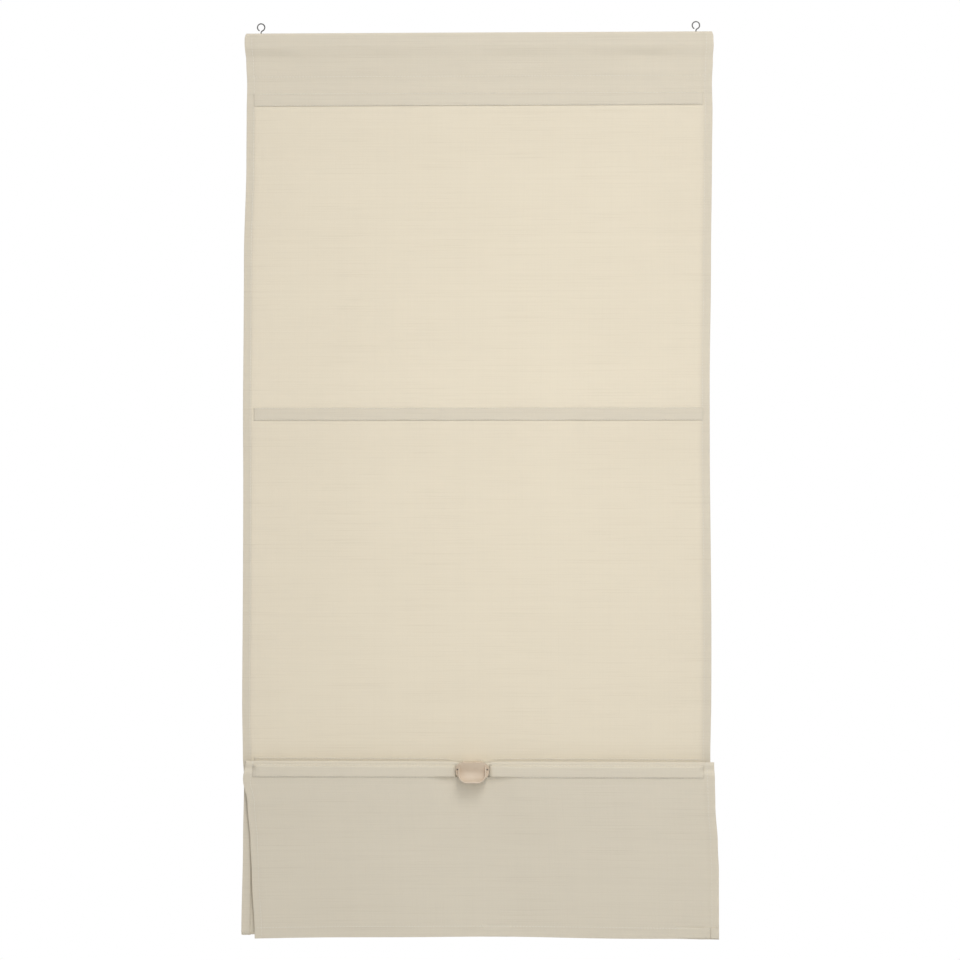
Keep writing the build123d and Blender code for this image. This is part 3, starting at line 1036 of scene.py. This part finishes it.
    def crease(self, x: Array, z: Array, length: Array) -> Array:
        """Depth of the crease under the batten: deep at both ends and in a stretch between.

        Args:
            x: place across the flat cloth.
            z: height of the route.
            length: place along the route.

        Returns:
            The distance behind the smooth cloth.
        """
        places = ((-0.275, 0.055, 1.0), (-0.12, 0.05, 0.4), (0.05, 0.03, 0.85), (0.215, 0.06, 1.0))
        total = sum(share * hump(x, middle, reach) for middle, reach, share in places)
        least, ripple, ripple_length = 0.1, 0.1, 0.011
        deep = self.crease_depth * (least + total + ripple * np.sin(x / ripple_length))
        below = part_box("head_batten")[0].z - z
        deep = deep * smoothstep(below, 0.0, self.crease_reach[0])
        deep = deep * (1.0 - smoothstep(below, *self.crease_reach))
        in_front = smoothstep(length, self.mark(Bend.TOP_FRONT), self.mark(Bend.UNDER_BATTEN))
        return deep * in_front * (length < self.mark(Bend.HEAD_SEAM))

    def crest(self, length: Array) -> Array:
        """Nearness of the fold's crest, 1 on top and 0 where the tape of the flap begins."""
        top = (self.mark(Bend.FOLD_BACK) + self.mark(Bend.FOLD_FRONT)) / 2
        before, level, after = self.crest_reach
        behind = smoothstep(length, top - before, top)
        ahead = 1.0 - smoothstep(length, top + level, top + after)
        return np.where(length < top, behind, ahead)

    def sag(self, x: Array, length: Array) -> Array:
        """Height that the flap loses towards its lower edge, most of all at its corners."""
        share = smoothstep(length, self.mark(Bend.FOLD_FRONT), self.mark(Bend.HEM_FRONT))
        drop = np.where(x < 0, *self.corner_drop) * (x / self.half_width) ** 2
        return share * (drop + self.flap_drop - self.flap_tilt * x / self.half_width)

    def tape_length(self, node: str) -> float:
        """Length of the route behind the middle of a tape."""
        low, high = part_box(node)
        on_flap = (Bend.FOLD_FRONT, Bend.HEM_FRONT)
        on_panel = (Bend.HEAD_SEAM, Bend.LOOP_BACK)
        return self.length_at((low.z + high.z) / 2, *(on_flap if node == FLAP_TAPE else on_panel))

    def build(self) -> bpy.types.Object:
        """Makes the sheet and puts it in place of the plain solid.

        Returns:
            The piece.
        """
        x, depth = self.columns()
        length = self.rows()
        points = self.surface(x[None, :], length[:, None], depth[None, :])
        row_spread, side_spread = self.seam_spread
        # Nearness of the seams and side hems, which the cloth's finish turns into puckers and
        # painted shade.
        seam = np.max([hump(length, sewn, row_spread) for sewn in self.sewn_lengths()], axis=0)
        hem = hump(np.abs(x), self.half_width - self.hem, side_spread)
        faces = MeshMaker.grid(len(length), len(x))
        faces = faces[~self.over_hole(points, faces)]
        flat_x = x[None, :] + np.sign(x) * depth
        uv = np.stack(np.broadcast_arrays(flat_x, length[:, None]), axis=-1)
        piece = MeshMaker.piece(
            "cloth_sheet",
            points.reshape(-1, 3),
            faces.tolist(),
            self.finish.material(),
            uv.reshape(-1, 2),
            np.maximum(seam[:, None], hem[None, :]).ravel(),
        )
        MeshMaker.thicken(piece, self.layer)
        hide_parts("fabric")
        return piece

    def sewn_lengths(self) -> list[float]:
        """Lengths of the route under the rows of stitches that run across."""
        hem = self.mark(Bend.HEM_FRONT) - self.bottom_hem + self.hem_inset
        reach = (-self.seam_reach, self.seam_reach)
        edges = [self.tape_length(node) + side for node in DRAWING_TAPES for side in reach]
        return [self.mark(Bend.HEAD_SEAM), hem, *edges]

    def over_hole(self, points: Array, faces: Array) -> Array:
        """Which faces lie where an eye's stem goes through the top of the pocket."""
        middle = points.reshape(-1, 3)[faces].mean(axis=1)
        near_x = np.abs(np.abs(middle[:, 0]) - self.eye_x) < self.hole_reach
        near_y = np.abs(middle[:, 1]) < self.hole_reach
        return near_x & near_y & (middle[:, 2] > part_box("head_batten")[1].z)


@dataclass
class TunnelTape:
    """One sewn tape that makes a tunnel for a rod.

    Attributes:
        node: the plain solid that the tape stands for.
        cloth: the sheet that carries it.
        finish: finish of the tape.
        layer: thickness of the tape.
        sewn_share: distance between the middles of tape and cloth in a seam, in layers.
        flange: height of the sewn strip at each edge.
        hooked_flange: height of the upper strip on the hooked tape, whose rod hangs low in it.
        rise: height over which the tunnel stands out.
        row_steps: distance between rows on the sewn strips and on the tunnel's front.
        column_step: distance between two columns of points.
        foot_radius: radius of the bend between a flange and the tunnel.
        edge_radius: radius of the tunnel's front edges.
        bend_step: angle between two points of a bend.
        end_reach: length of the sewn-down strip beyond each end of the plain solid.
        end_taper: distance over which each end is sewn down.
        end_share: share of the tunnel's depth that is left at the very end.
        belly_reach: depths between which the tunnel's puckers set in.
        seam_inset: distance from an edge to its seam.
        seam_spread: half the width of a seam's puckers and painted shade.
        clearance: distance kept from the pull and from the hooked rod.
        dip_reach: distance over which the tape's edge sinks towards the hook.
        squash: share of its height over the rod that the hooked tape loses at the hook.
        hook_reach: half the width of the opening for the hook.
        run: length of the tape's section, known once it is built.
    """

    node: str
    cloth: HangingCloth
    finish: bpy.types.Material
    layer: float = 0.4 * MM
    sewn_share: float = 0.75
    flange: float = 1.2 * MM
    hooked_flange: float = 4.4 * MM
    rise: float = 0.5 * MM
    row_steps: tuple[float, float] = (0.9 * MM, 1.8 * MM)
    column_step: float = 5.0 * MM
    foot_radius: float = 0.8 * MM
    edge_radius: float = 1.7 * MM
    bend_step: float = math.radians(14.0)
    end_reach: float = 2.5 * MM
    end_taper: float = 5.6 * MM
    end_share: float = 0.08
    belly_reach: tuple[float, float] = (0.5 * MM, 3.0 * MM)
    seam_inset: float = 0.8 * MM
    seam_spread: float = 1.6 * MM
    clearance: float = 0.4 * MM
    dip_reach: float = 26.0 * MM
    squash: float = 0.88
    hook_reach: float = 12.6 * MM
    run: float = 0.0

    def profile(self) -> Route:
        """Section of the tape as a route of its own: Y is depth before the cloth, Z is height."""
        low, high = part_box(self.node)
        out = high.y - low.y - self.layer / 2
        flat = self.layer * self.sewn_share
        height = high.z - low.z
        fine, coarse = self.row_steps
        bottom, top = self.flange + self.rise, height - self.flange - self.rise
        upper = self.flange
        if self.node == HOOKED_TAPE:
            bottom, top = (corner.z - low.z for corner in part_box(HOOKED_ROD))
            upper = self.hooked_flange
        corners = (
            Corner(flat, 0.0, step=fine),
            Corner(flat, self.flange, self.foot_radius, fine),
            Corner(out, bottom, self.edge_radius, coarse),
            Corner(out, top, self.edge_radius, fine),
            Corner(flat, height - upper, self.foot_radius, fine),
            Corner(flat, height),
        )
        return Route(corners, self.bend_step)

    def build(self) -> bpy.types.Object:
        """Makes the tape: its section carried across the cloth, with small puckers.

        A point's depth before the cloth is that of the section, squeezed between the seams as
        the cloth is drawn forward and the front of the tunnel, and sewn down at both ends.

        Returns:
            The piece.
        """
        low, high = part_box(self.node)
        section = self.profile()
        out, up = section.points.T
        left, right = low.x - self.end_reach, high.x + self.end_reach
        x = self.columns(left, right)
        middle = self.cloth.tape_length(self.node)
        height = high.z - low.z
        sunk = self.sunk_share(x)[None, :] * np.maximum(up - self.kept_height(), 0.0)[:, None]
        length = middle + height / 2 - up[:, None] + sunk
        away = height / 2 - up[:, None]
        closed = smoothstep(np.minimum(x - left, right - x), 0.0, self.end_taper)
        front = out.max()
        sewn = out[0] + self.cloth.draw * self.cloth.draw_share(self.node, x[None, :], away)
        share = (out - out[0])[:, None] / (front - out[0])
        stand = share * (front - sewn) * (self.end_share + (1.0 - self.end_share) * closed[None, :])
        belly = smoothstep(out, *self.belly_reach)[:, None] * (self.puckers(x) * closed)[None, :]
        depth = -(sewn + stand + belly)
        points = self.cloth.surface(x[None, :], length, depth, drawn=False)
        points[..., 0] = x[None, :]
        steps = np.diff(points[:, len(x) // 4], axis=0)
        self.run = float(np.linalg.norm(steps, axis=-1).sum())
        faces = MeshMaker.grid(len(up), len(x))[:, ::-1]
        faces = faces[~self.opened(x, up, faces)]
        uv = np.stack(np.broadcast_arrays(x[None, :], section.lengths[:, None] + middle), axis=-1)
        seams = (self.seam_inset, height - self.seam_inset)
        # Nearness of the tape's seams, which its finish turns into puckers and painted shade.
        nearness = np.max([hump(up, seam, self.seam_spread) for seam in seams], axis=0)
        nearness = nearness * (self.node != HOOKED_TAPE)
        piece = MeshMaker.piece(
            f"tape_{self.node[-1]}",
            points.reshape(-1, 3),
            faces.tolist(),
            self.finish,
            uv.reshape(-1, 2),
            np.repeat(nearness, len(x)),
        )
        MeshMaker.thicken(piece, self.layer)
        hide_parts(self.node)
        return piece

    def flat_size(self) -> tuple[float, float]:
        """Width and length of the tape before it is sewn on."""
        low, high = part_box(self.node)
        return high.x - low.x + 2 * self.end_reach, self.run

    def columns(self, left: float, right: float) -> Array:
        """Places of the columns across the tape, with one at each side of the opening."""
        x = np.linspace(left, right, math.ceil((right - left) / self.column_step) + 1)
        taper = self.end_taper * np.array([0.25, 0.5, 0.75])
        x = np.sort(np.concatenate([x, left + taper, right - taper]))
        window = self.window()
        if window is None:
            return x
        sides = np.array(window)
        clear = np.min(np.abs(x[:, None] - sides[None, :]), axis=1) > self.column_step / 2
        return np.sort(np.concatenate([x[clear], sides]))

    def puckers(self, x: Array) -> Array:
        """Small uneven swelling of the tunnel: the product of a quick and a slow sine."""
        height, quick, slow, start = 0.16 * MM, 8.9 * MM, 17.0 * MM, 0.6
        return height * np.sin(x / quick) * np.sin(x / slow + start)

    def window(self) -> tuple[float, float] | None:
        """Left and right side of the opening for the pull or its hook, where there is one."""
        if self.node == HOOKED_TAPE:
            return self.cloth.pull_x - self.hook_reach, self.cloth.pull_x + self.hook_reach
        if self.node == FLAP_TAPE:
            low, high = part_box("pull")
            return low.x - self.clearance, high.x + self.clearance
        return None

    def opened(self, x: Array, up: Array, faces: Array) -> Array:
        """Which faces lie in the opening: above the sewn strip, or above the hooked rod's foot."""
        window = self.window()
        if window is None:
            return np.zeros(len(faces), bool)
        left, right = window
        foot = self.flange
        if self.node == HOOKED_TAPE:
            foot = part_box(HOOKED_ROD)[0].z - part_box(self.node)[0].z
        across = np.tile(x, len(up))[faces].mean(axis=1)
        height = np.repeat(up, len(x))[faces].mean(axis=1)
        return (across > left) & (across < right) & (height > foot)

    def kept_height(self) -> float:
        """Height on the hooked tape below which the hook leaves it in place, just over its rod."""
        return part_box(HOOKED_ROD)[1].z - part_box(self.node)[0].z + self.clearance

    def sunk_share(self, x: Array) -> Array:
        """Share of its height over the rod that the hooked tape loses, a bell round the pull."""
        if self.node != HOOKED_TAPE:
            return np.zeros_like(x)
        return self.squash * hump(x, self.cloth.pull_x, self.dip_reach)


@dataclass
class StitchRow:
    """One straight row of stitches on the flat cloth.

    Attributes:
        start: X and length of the route at the first stitch.
        stop: X and length of the route at the last stitch.
        depth: depth of the thread's middle behind the right side of the cloth.
        skip: X of the two ends of a stretch without stitches.
        drawn: whether the depth starts from the cloth as the tunnels draw it.
    """

    start: tuple[float, float]
    stop: tuple[float, float]
    depth: float
    skip: tuple[float, float] | None = None
    drawn: bool = True


@dataclass
class Stitching:
    """Rows of lock stitches, each a short round bead that dips into the cloth at its ends.

    Attributes:
        name: name of the piece.
        cloth: the sheet that is sewn.
        rows: rows of stitches.
        pitch: distance between two stitches.
        fill_share: share of the pitch that thread covers.
        thread: diameter of the thread.
        sides: flats round the thread.
        swell: thickness of a stitch from end to end, as shares of the thread.
        dip: how far the ends of a stitch dip into the cloth, as a share of the thread.
    """

    name: str
    cloth: HangingCloth
    rows: Sequence[StitchRow]
    pitch: float = 4.0 * MM
    fill_share: float = 0.8
    thread: float = 0.62 * MM
    sides: int = 6
    swell: tuple[float, ...] = (0.35, 0.9, 1.0, 0.9, 0.35)
    dip: float = 0.7

    def build(self, material: bpy.types.Material) -> bpy.types.Object:
        """Makes all the stitches as one piece.

        Args:
            material: finish of the thread.

        Returns:
            The piece.
        """
        tubes = np.concatenate([self.beads(row) for row in self.rows])
        count, rings, sides = tubes.shape[:3]
        ring = np.arange(rings * sides).reshape(rings, sides)
        on = np.roll(ring, -1, axis=1)
        bead = np.stack([ring[:-1], on[:-1], on[1:], ring[1:]], axis=-1).reshape(-1, 4)
        first = np.arange(count)[:, None, None] * rings * sides
        walls = (first + bead).reshape(-1, 4).tolist()
        caps = (first + np.stack([ring[0][::-1], ring[-1]])).reshape(-1, sides).tolist()
        piece = MeshMaker.piece(self.name, tubes.reshape(-1, 3), walls + caps, material)
        return piece

    def beads(self, row: StitchRow) -> Array:
        """Points of one row's stitches.

        A ring at share t of the stitch has its middle on the cloth at start plus t times the
        run, and its radius and lift both follow the swell.

        Args:
            row: the row.

        Returns:
            Points by stitch, ring and side.
        """
        start, stop = np.array(row.start), np.array(row.stop)
        run = stop - start
        size = float(np.linalg.norm(run))
        count = max(1, int(size / self.pitch))
        begin = (np.arange(count) + (1 - self.fill_share) / 2) * self.pitch / size
        if row.skip:
            place = start[0] + begin * run[0]
            begin = begin[(place < row.skip[0]) | (place > row.skip[1])]
        swell = np.array(self.swell)
        share = np.linspace(0.0, 1.0, len(swell))
        along = begin[:, None] + share[None, :] * self.fill_share * self.pitch / size
        x, length = start[0] + along * run[0], start[1] + along * run[1]
        depth = row.depth + (1.0 - swell[None, :]) * self.thread * self.dip
        middle = self.cloth.surface(x, length, depth, row.drawn)
        probe = 0.1 * MM
        normal = self.cloth.surface(x, length, depth - probe, row.drawn) - middle
        normal = normal / np.linalg.norm(normal, axis=-1, keepdims=True)
        way = np.gradient(middle, axis=1)
        way = way / np.linalg.norm(way, axis=-1, keepdims=True)
        side = np.cross(way, normal)[:, :, None, :]
        angle = np.linspace(0.0, math.tau, self.sides, endpoint=False)[:, None]
        spoke = np.cos(angle) * normal[:, :, None, :] + np.sin(angle) * side
        radius = self.thread / 2 * swell
        return middle[:, :, None, :] + radius[None, :, None, None] * spoke


@dataclass
class Seams:
    """All the rows of stitches of the blind.

    Attributes:
        cloth: the sheet that is sewn.
        inset: distance from an edge to the end or the line of a row.
        top_inset: distance from the top of the cloth to the first stitch of the side hems.
        tape_inset: distance from a tape's edge to its row.
        lift: height of the thread's middle over the cloth's, in layers.
        tape_lift: height of the thread's middle over the cloth under a tape, in layers.
        hook_gap: half the width that is left open for the hook.
    """

    cloth: HangingCloth
    inset: float = 2.0 * MM
    top_inset: float = 4.0 * MM
    tape_inset: float = 0.9 * MM
    lift: float = 0.7
    tape_lift: float = 1.9
    hook_gap: float = 26.0 * MM

    def build(self) -> list[bpy.types.Object]:
        """Makes the stitches of the head pocket, of the hems and of the tapes.

        Returns:
            The pieces.
        """
        thread = SewingThread().material()
        groups = {
            "stitches_head": [self.across(self.cloth.mark(Bend.HEAD_SEAM))],
            "stitches_hems": self.hem_rows(),
            "stitches_tapes": self.tape_rows(),
        }
        return [Stitching(name, self.cloth, rows).build(thread) for name, rows in groups.items()]

    def across(self, length: float) -> StitchRow:
        """A row from side to side at a length of the route."""
        reach = self.cloth.half_width - self.inset
        return StitchRow((-reach, length), (reach, length), -self.cloth.layer * self.lift)

    def hem_rows(self) -> list[StitchRow]:
        """The seams of both side hems and of the bottom hem."""
        cloth = self.cloth
        top, end = cloth.mark(Bend.TOP_FRONT) + self.top_inset, cloth.mark(Bend.HEM_FRONT)
        x = cloth.half_width - cloth.hem + self.inset
        depth = -cloth.layer * self.lift
        sides = [StitchRow((at, top), (at, end - self.inset), depth) for at in (-x, x)]
        return [*sides, self.across(end - cloth.bottom_hem + self.inset)]

    def tape_rows(self) -> list[StitchRow]:
        """The seams along both edges of each tape, left open where the hook or pull goes in."""
        cloth = self.cloth
        gaps = {HOOKED_TAPE: self.hook_gap, FLAP_TAPE: 2 * cloth.draw_gap}
        rows = []
        for node in TAPE_NODES:
            low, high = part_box(node)
            middle = cloth.tape_length(node)
            half = (high.z - low.z) / 2 - self.tape_inset
            left, right = low.x + self.inset, high.x - self.inset
            reach = gaps.get(node)
            skip = (cloth.pull_x - reach, cloth.pull_x + reach) if reach else None
            for away in (half, -half):
                drawn = cloth.draw * float(cloth.draw_share(node, np.array(left), np.array(away)))
                depth = -cloth.layer * self.tape_lift - drawn
                ends = (left, middle + away), (right, middle + away)
                rows.append(StitchRow(*ends, depth, skip, drawn=False))
        return rows


# Hardware that keeps its solids.


class Hardware(Enum):
    """Nodes that keep their own solids, with the finish of each."""

    BATTEN = (("head_batten",), PlanedWood())
    EYES = (("screw_eye_left", "screw_eye_right"), PlatedWire())
    RODS = (("rod_1", "rod_2", "rod_3", "rod_4"), DrawnRod())
    PULL = (("pull",), MouldedPlastic())

    def dress(self) -> None:
        """Gives each node of the group its material."""
        nodes, finish = self.value
        material = finish.material()
        for name in nodes:
            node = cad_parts[name]
            node.data.materials.clear()
            node.data.materials.append(material)
            LOG.info("%s: %s", name, material.name)


# The stage.


@dataclass(frozen=True)
class PaleFloor(Finish):
    """Matt pale floor that fades out to white at its rim, with the radius of the rim."""

    name: str = "pale_floor"
    reach: float = 1.15
    light: Colour = colour(0.9, 0.9, 0.89)
    dark: Colour = colour(0.87, 0.87, 0.86)

    def surface(self, shader: Shader) -> bpy.types.Node:
        """Writes a faint speckle that turns clear towards the rim."""
        place = shader.object_place()
        x, y, _ = shader.split(place)
        rim = shader.smooth(
            shader.math("SQRT", x * x + y * y), self.reach * 0.55, self.reach * 0.98
        )
        speckle = shader.noise(place, (60.0, 60.0, 60.0), 3.0)
        tone = shader.mixed(speckle, self.light, self.dark)
        matt = shader.principled({"Base Color": tone, "Roughness": 0.85})
        return shader.blended(rim, matt, shader.node("ShaderNodeBsdfTransparent"))


@dataclass(frozen=True)
class Lamp:
    """A soft rectangular lamp: its middle, the point it faces, its size and its watts."""

    name: str
    place: tuple[float, float, float]
    aim: tuple[float, float, float]
    size: tuple[float, float]
    power: float

    def build(self) -> None:
        """Adds the lamp to the scene."""
        data = bpy.data.lights.new(self.name, "AREA")
        data.shape = "RECTANGLE"
        data.size, data.size_y = self.size
        data.energy = self.power
        made = bpy.data.objects.new(self.name, data)
        made.location = self.place
        made.rotation_mode = "QUATERNION"
        way = Vector(self.aim) - Vector(self.place)
        made.rotation_quaternion = way.to_track_quat("-Z", "Y")
        bpy.context.scene.collection.objects.link(made)


@dataclass
class Studio:
    """Camera, soft lamps, white surroundings and a pale floor.

    Attributes:
        turn: how far the camera stands to the right of straight ahead, in degrees.
        distance: from the camera to the panel.
        aim: the point in the middle of the picture.
        lens: focal length in millimetres.
        sensor: width of the picture behind the lens in millimetres.
        floor_z: height of the floor.
        surround: strength of the light from all round.
        lamps: the lamps.
    """

    turn: float = 1.5
    distance: float = 3.0
    aim: tuple[float, float, float] = (0.0026, 0.0, -0.584)
    lens: float = 87.38
    sensor: float = 36.0
    floor_z: float = -1.62
    surround: float = 0.53
    lamps: Sequence[Lamp] = (
        Lamp("key", (0.75, -2.2, 2.1), (0.1, 0.0, -0.75), (1.4, 1.4), 45.0),
        Lamp("strip", (0.15, -1.0, -0.57), (0.12, 0.0, -0.57), (0.3, 1.0), 2.3),
        Lamp("back", (0.06, 0.62, -0.52), (0.06, 0.0, -0.52), (0.3, 0.8), 2.5),
    )

    def build(self) -> None:
        """Sets the camera, the lamps, the surroundings and the floor."""
        bpy.context.scene.view_settings.view_transform = "Standard"
        self.camera()
        self.surroundings()
        self.floor()
        for lamp in self.lamps:
            lamp.build()

    def camera(self) -> None:
        """Places the camera at the photograph's angle."""
        angle = math.radians(self.turn)
        back = Vector((math.sin(angle), -math.cos(angle), 0.0))
        data = bpy.data.cameras.new("photo_camera")
        data.lens = self.lens
        data.sensor_width = self.sensor
        made = bpy.data.objects.new("photo_camera", data)
        made.location = Vector(self.aim) + back * self.distance
        made.rotation_mode = "QUATERNION"
        made.rotation_quaternion = (-back).to_track_quat("-Z", "Y")
        bpy.context.scene.collection.objects.link(made)
        bpy.context.scene.camera = made

    def surroundings(self) -> None:
        """Soft light from all round, white where the camera or a gloss looks past the blind."""
        world = bpy.data.worlds.new("soft_surround")
        bpy.context.scene.world = world
        shader = Shader(world)
        path = shader.node("ShaderNodeLightPath")
        rays = ("Is Camera Ray", "Is Glossy Ray", "Is Transmission Ray")
        camera, gloss, through = (shader.read(path, ray) for ray in rays)
        seen = shader.math("MAXIMUM", camera, shader.math("MAXIMUM", gloss, through))
        light, white = (
            shader.node(
                "ShaderNodeBackground", inputs={"Color": colour(1, 1, 1), "Strength": strength}
            )
            for strength in (self.surround, 1.0)
        )
        shader.finish(shader.blended(seen, light, white))

    def floor(self) -> None:
        """A round floor of rings and spokes under the blind."""
        rings, spokes = 24, 96
        finish = PaleFloor()
        radius = np.linspace(0.0, finish.reach, rings + 1)[1:, None]
        angle = np.linspace(0.0, math.tau, spokes, endpoint=False)[None, :]
        x, y = radius * np.cos(angle), radius * np.sin(angle)
        points = np.stack([x, y, np.full_like(x, self.floor_z)], axis=-1).reshape(-1, 3)
        point = np.arange(rings * spokes).reshape(rings, spokes)
        on = np.roll(point, -1, axis=1)
        quads = np.stack([point[:-1], point[1:], on[1:], on[:-1]], axis=-1).reshape(-1, 4)
        mesh = bpy.data.meshes.new("floor")
        mesh.from_pydata(points, [], [*quads.tolist(), point[0].tolist()])
        mesh.materials.append(finish.material())
        made = bpy.data.objects.new("floor", mesh)
        bpy.context.scene.collection.objects.link(made)


def main() -> None:
    """Builds the stage, the cloth, the tapes, the stitches and the finishes of the hardware."""
    logging.basicConfig(level=logging.INFO, format="%(name)s %(message)s")
    Studio().build()
    cloth = HangingCloth(WovenCloth("cream_cloth"))
    sheet = cloth.build()
    tape_finish = WovenCloth("tape_cloth").material()
    tapes = [TunnelTape(node, cloth, tape_finish) for node in TAPE_NODES]
    strips = [tape.build() for tape in tapes]
    stitches = Seams(cloth).build()
    for group in Hardware:
        group.dress()
    for tape, strip in zip(tapes, strips):
        tape.flat_size()


if __name__ == "__main__":
    main()
